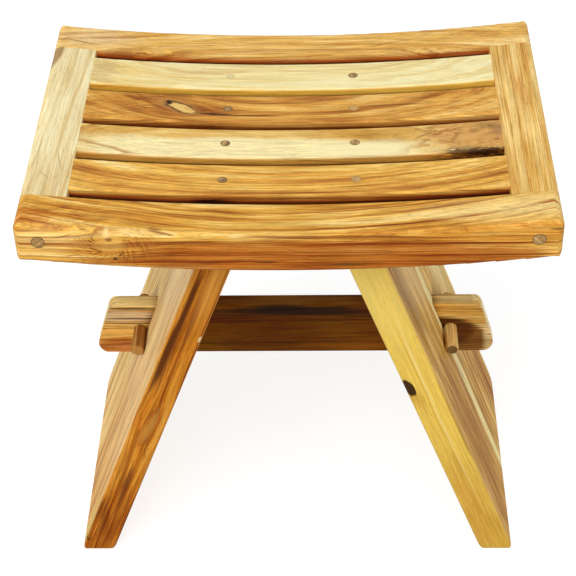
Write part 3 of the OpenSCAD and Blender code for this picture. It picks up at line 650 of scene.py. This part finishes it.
rightLegFront = {
    "axes": "rightLeg", "pith": (-60, -90), "ringWidth": 4.2, "wander": 4, "runOut": 0.003,
    "seed": 113.2, "colours": ["#F2CE88", "#E4B86A", "#D0A250", "#B6863C", "#8E602A"],
    "line": "#94602E", "lineStrength": 0.8, "sheen": 0.05,
    "knots": [
        {"at": (180, -125, -15), "reach": (36, 40, 10), "push": 0.8, "swirl": 0},
    ],
    "zones": [
        # the front edge's cream sapwood
        patch((230, -146, 0), (900, 25, 60), "#EECA5A", 0.85, soft=0.1, ragged=0.05),
        patch((85, -98, 16), (120, 32, 9), "#8A5812", 0.88),
        # painted light: the top of the outer face made paler where the seat shades it
        patch((40, -45, 16), (170, 100, 9), "#F2D298", 0.5, soft=0.9, ragged=1.0),
        patch((350, -70, 16), (200, 70, 9), "#D2B680", 0.9, deepens=True),
        # the pale stripe by the joint
        patch((280, -10, 16), (330, 11, 9), "#FAE8A6", 0.95, soft=0.3, ragged=0.5),
    ],
    "marks": [
        patch((230, -146, 0), (900, 25, 60), "#DFB850", 0.5, soft=0.1, ragged=0),
        patch((410, -138, 0), (250, 22, 60), "#CEAA74", 0.9, ragged=0.4, deepens=True),
        # painted light: the top of the front edge made paler where the seat shades it
        patch((20, -140, 0), (190, 24, 60), "#FFEC8C", 0.85, soft=0.9, ragged=0.4),
        patch((205, -128, 3), (190, 14, 1.5), "#F4DE98", 0.55, tilt=-0.6, flows=True),
        patch((190, -128, -0.4), (150, 14, 1.1), "#BE8A34", 0.6, tilt=-0.6, flows=True),
        patch((380, -128, -6), (110, 14, 9), "#CF9840", 0.5, ragged=1.6),
        # brown ground and black knot on the inner corner
        patch((196, -128, -9), (22, 14, 9), "#C08A3A", 0.5, soft=0.9, ragged=1.2, tilt=-10),
        patch((180, -128, -12), (13, 14, 6), "#2E180C", 0.97, soft=0.25, ragged=0.5, tilt=-10),
        # streaks down the outer face
        patch((250, -74, 16), (210, 5, 8), "#8E5C2C", 0.55, soft=0.9, ragged=1.0, flows=True),
        patch((200, -52, 16), (150, 2.4, 8), "#7E4E24", 0.6, soft=0.9, flows=True),
        patch((310, -36, 16), (170, 3, 8), "#DCB070", 0.55, soft=0.9, flows=True),
        patch((320, -98, 16), (150, 4, 8), "#96622E", 0.5, soft=0.9, flows=True),
        patch((280, -12, 16), (26, 2.6, 8), "#7E7460", 0.8, ragged=1.0, turn=6),
    ],
}
dress("right_leg_front_board", oiledTeak("rightLegFrontOiledTeak", rightLegFront))

rightLegRear = {
    "axes": "rightLeg", "pith": (190, -80), "ringWidth": 4.4, "wander": 4, "runOut": 0.003,
    "seed": 121.2, "colours": ["#FFE6A2", "#F8D684", "#EABE66", "#D0A04C", "#A87236"],
    "line": "#94602E", "lineStrength": 0.8, "sheen": 0.05,
    "zones": [
        patch((330, 30, 16), (170, 40, 8), "#DEC698", 0.9, deepens=True),
        patch((380, 88, 16), (110, 42, 9), "#C89C64", 0.9, deepens=True),
        patch((160, 80, 16), (130, 50, 9), "#FFECAA", 0.85),
    ],
    "marks": [
        patch((300, 8, 16), (150, 3.4, 8), "#724620", 0.8, soft=0.7, ragged=1.0, turn=1),
        patch((250, 24, 16), (100, 4, 8), "#F2DA94", 0.7, ragged=1.2, turn=2),
        patch((260, 46, 16), (120, 3, 8), "#8A5A2A", 0.7, ragged=1.0, turn=1),
        # the joint between the boards
        patch((250, 2, 16), (260, 0.9, 6), "#6A4420", 0.7, soft=0.6, ragged=0.3),
    ],
}
dress("right_leg_rear_board", oiledTeak("rightLegRearOiledTeak", rightLegRear))
print("legs dressed")

stretcher = {
    "axes": "onEdge", "pith": (150, -120), "ringWidth": 3.4, "wander": 2, "runOut": 0.0,
    "seed": 131.8, "colours": ["#FCE09A", "#F2CC78", "#E6B45C", "#CE9242", "#A6682A"],
    "line": "#8A5024", "lineStrength": 0.6, "end": "#F4E4B4", "endMix": 0.9, "sheen": 0.08,
    "fibre": 0.34,
    "zones": [
        # the ends' tops: pale wood, made paler still as painted light where the seat shades them
        patch((-168, 241, 0), (70, 12, 40), "#FFE49A", 0.96, soft=0.4, ragged=0.4),
        patch((182, 241, 0), (70, 12, 40), "#FFE8A4", 0.96, soft=0.4, ragged=0.4),
        # the left end: grey above, orange below
        patch((-168, 219, 8), (60, 10, 8), "#DCC096", 0.8, soft=0.5),
        patch((-168, 229.5, 8), (60, 2.4, 8), "#4A3A22", 0.85, soft=0.7, ragged=1.2),
        patch((-160, 216, 8), (50, 1.1, 8), "#6A5230", 0.8, soft=0.7, ragged=1.0),
        patch((-160, 210, 8), (50, 1.4, 8), "#5A4426", 0.8, soft=0.7, ragged=1.0),
        patch((-168, 178, 8), (60, 15, 30), "#B85A0C", 0.82, soft=0.5),
        patch((-168, 199.5, 8), (60, 7, 30), "#E8A848", 0.6, soft=0.7),
        patch((-168, 186.5, 8), (60, 1.1, 8), "#7A4A20", 0.7, soft=0.7, ragged=1.0),
        # the right end: golden above, dark brown below
        patch((182, 226, 8), (70, 10, 12), "#E6B052", 0.75, soft=0.3),
        patch((150, 186, 8), (52, 33, 30), "#76420C", 0.9, soft=0.2, ragged=0.4),
        patch((160, 198, 8), (26, 20, 30), "#582E08", 0.9, soft=0.4, ragged=0.6),
        patch((196, 200, 8), (9, 40, 30), "#F0D498", 0.85, soft=0.7, ragged=0.6),
        # the middle stretch between the legs, under the seat, deeper in tone: partly darker heartwood, partly
        # painted shade
        patch((0, 200, 0), (158, 90, 60), "#84601A", 1.0, soft=0.1, ragged=0.1, deepens=True),
    ],
    "marks": [
        # painted light on the ends' tops, again over the seat's shade
        patch((-168, 240, 0), (70, 7, 40), "#FFE89E", 0.8, soft=0.6, ragged=0.3),
        patch((182, 240, 0), (70, 7, 40), "#FFEA9E", 0.85, soft=0.6, ragged=0.3),
        patch((149, 221, 12), (12, 4, 8), "#96602A", 0.6, soft=0.9, ragged=1.6, turn=10),
        patch((0, 240, 0), (158, 8, 30), "#A87832", 0.8, soft=0.3, ragged=0.6),
        patch((0, 225, 12), (158, 10.5, 8), "#2A160A", 0.9, soft=0.4),  # the black band along the middle, under its top edge: dark streaks, deepened as painted shadow of the seat
        patch((-40, 227, 12), (90, 4.6, 8), "#0E0703", 0.9, soft=0.7, turn=1),
        patch((75, 218, 12), (60, 4, 8), "#140A04", 0.9, soft=0.7, ragged=1.0, turn=-2),
        patch((-10, 194, 12), (90, 1.4, 6), "#241006", 0.8, ragged=1.2, turn=-1),
        patch((30, 206, 12), (80, 5, 8), "#A06A20", 0.6, soft=0.9, ragged=1.4),
        patch((66, 180, 12), (90, 10, 8), "#B4681A", 0.65, soft=0.9, ragged=1.4),
        patch((-80, 184, 12), (50, 1.4, 6), "#2C1608", 0.7, ragged=1.2),
    ],
}
dress("stretcher", oiledTeak("stretcherOiledTeak", stretcher))

rightPeg = {
    "axes": "acrossSeat", "pith": (30, 190), "ringWidth": 2.6, "wander": 1.5, "seed": 143.7,
    "colours": ["#FFEAB0", "#FAD488", "#E2B05E", "#B07E38"], "line": "#94602E", "end": "#543610",
    "endMix": 0.85,
}
dress("right_peg", oiledTeak("rightPegOiledTeak", rightPeg))
leftPeg = dict(rightPeg, seed=147.2, colours=["#D8AC64", "#BC8844", "#9A6428", "#74441A"], end="#B88848")
dress("left_peg", oiledTeak("leftPegOiledTeak", leftPeg))

# Plugs are cut across the grain like little coins, so they show duller end grain.
slatPlugs = {
    "axes": "upright", "pith": (30, 190), "ringWidth": 1.8, "wander": 1.5, "seed": 153.7,
    "colours": ["#DCBC88", "#BC9864", "#927048", "#6A4A2C"], "line": "#705030", "end": "#A88A5C",
    "endMix": 0.2, "fibre": 0.4,
    "disc": {"row": (0, 55.625, 58.5), "step": (0, 27.8125, 0), "radius": 4.5, "rim": "#5A3E22"},
    "marks": [
        # three plugs that are paler than the rest
        patch((444, 84.4, 58.5), (16, 6, 6), "#F4E2A6", 0.92, soft=0.3, ragged=0.3),
        patch((444, 27.8, -58.5), (16, 6, 6), "#D6A45C", 0.7, soft=0.4, ragged=0.6),
        patch((444, -83.4, -58.5), (16, 7, 7), "#DDB878", 0.45, soft=0.4, ragged=0.6),
    ],
}
dress("slat_plugs", oiledTeak("slatPlugTeakEndGrain", slatPlugs))

framePlugs = {
    "axes": "acrossSeat", "pith": (30, 190), "ringWidth": 1.8, "wander": 1.5, "seed": 163.7,
    "colours": ["#DCB878", "#B48A50", "#84603A", "#583C22"], "line": "#705030", "end": "#A88A5C",
    "endMix": 0.2, "fibre": 0.4,
    "disc": {"row": (0, 211, 436.9), "step": (0, 0, 0), "radius": 6, "rim": "#4E341C"},
}
dress("frame_plugs", oiledTeak("framePlugTeakEndGrain", framePlugs))

screws = {"colour": "#C6C6C2", "roughness": 0.32, "streaks": 0.06, "toolMark": 0.6}  # the last in millimetres


# A2 stainless steel, turned: bright, with a soft, slightly streaked gloss.
def turnedStainless(name, steel):
    material = bpy.data.materials.new(name)
    material.use_nodes = True
    tree = material.node_tree
    surface = tree.nodes["Principled BSDF"]
    coordinates = addNode(tree, "TexCoord").outputs
    turning = addNode(tree, "TexNoise", {"Vector": coordinates["Object"], "Detail": 2.0,
                                         "Scale": 1 / (steel["toolMark"] * millimetre)})
    ends = (steel["roughness"] - steel["streaks"], steel["roughness"] + steel["streaks"])
    shine = addNode(tree, "MapRange", {"Value": turning, **span(*ends, "To")})
    tree.links.new(shine.outputs[0], surface.inputs["Roughness"])
    surface.inputs["Base Color"].default_value = toLinear(steel["colour"])
    surface.inputs["Metallic"].default_value = 1.0
    return material


screwSteel = turnedStainless("screwTurnedStainless", screws)
for nodeName in ("slat_screws", "frame_screws"):
    dress(nodeName, screwSteel)
print("every piece dressed")

studio = {
    "floorSize": 12.0,       # metres
    "floorColour": "#A8A8A8",
    "floorLift": 0.8,        # whiteness that only the eye sees, so the backdrop stays white
    "skyStrength": 0.38,
    "keyAt": (-0.5, -1.15, 2.4), "keySize": 1.6, "keyWatts": 41,
    "fillAt": (-2.2, -1.5, 0.5), "fillSize": 1.2, "fillWatts": 29,
    "sideAt": (2.2, -1.4, 0.5), "sideSize": 1.2, "sideWatts": 28,
    "lampsAim": (0, 0, 0.3),
}


# 1 for what the eye sees of a backdrop, straight or in metal and glass, and 0 for the light it gives.
def seenByEye(tree):
    rays = addNode(tree, "LightPath").outputs
    seen = rays["Is Camera Ray"]
    for rayName in ("Is Glossy Ray", "Is Transmission Ray"):
        seen = addNode(tree, "Math", {0: seen, 1: rays[rayName]}, operation="ADD", use_clamp=True)
    return seen


# Matt white paint: even, without gloss, and it keeps the bench's shadow.
floorPaint = bpy.data.materials.new("floorMattWhitePaint")
floorPaint.use_nodes = True
tree = floorPaint.node_tree
tree.nodes.clear()
lift = addNode(tree, "Math", {0: seenByEye(tree), 1: studio["floorLift"]}, operation="MULTIPLY")
paint = addNode(tree, "BsdfDiffuse", {"Color": toLinear(studio["floorColour"])})
glow = addNode(tree, "Emission", {"Color": toLinear("#FFFFFF"), "Strength": lift})
both = addNode(tree, "AddShader", {0: paint, 1: glow})
addNode(tree, "OutputMaterial", {"Surface": both})
bpy.ops.mesh.primitive_plane_add(size=studio["floorSize"], location=(0, 0, 0))
floor = bpy.context.object
floor.name = "floor"
floor.data.materials.append(floorPaint)

world = bpy.data.worlds.new("whiteStudio")
bpy.context.scene.world = world
world.use_nodes = True
tree = world.node_tree
tree.nodes.clear()
skyLevel = addNode(tree, "MapRange", {"Value": seenByEye(tree), "To Min": studio["skyStrength"]})
sky = addNode(tree, "Background", {"Color": toLinear("#FFFFFF"), "Strength": skyLevel})
addNode(tree, "OutputWorld", {"Surface": sky})

for lampName in ("key", "fill", "side"):
    lamp = bpy.data.lights.new(lampName + "Softbox", "AREA")
    lamp.size = studio[lampName + "Size"]
    lamp.energy = studio[lampName + "Watts"]
    softbox = bpy.data.objects.new(lampName + "Softbox", lamp)
    bpy.context.collection.objects.link(softbox)
    softbox.location = studio[lampName + "At"]
    aim = Vector(studio["lampsAim"]) - softbox.location
    softbox.rotation_euler = aim.to_track_quat("-Z", "Y").to_euler()

view = {  # as the photographer stood: in front, a little to the right, looking 40 degrees down
    "at": (0.0343, -1.2147, 1.2724),
    "ahead": (-0.0255, 0.7644, -0.6442), "up": (0.0052, 0.6445, 0.7646),
    "lens": 99.9, "sensor": 36,  # millimetres
}
lens = bpy.data.cameras.new("studioCamera")
lens.lens = view["lens"]
lens.sensor_width = view["sensor"]
camera = bpy.data.objects.new("studioCamera", lens)
bpy.context.collection.objects.link(camera)
ahead = Vector(view["ahead"]).normalized()
right = ahead.cross(Vector(view["up"])).normalized()
up = right.cross(ahead)
camera.matrix_world = Matrix.Translation(view["at"]) @ Matrix((right, up, -ahead)).transposed().to_4x4()
bpy.context.scene.camera = camera
bpy.context.scene.view_settings.view_transform = "Standard"
print("studio set")
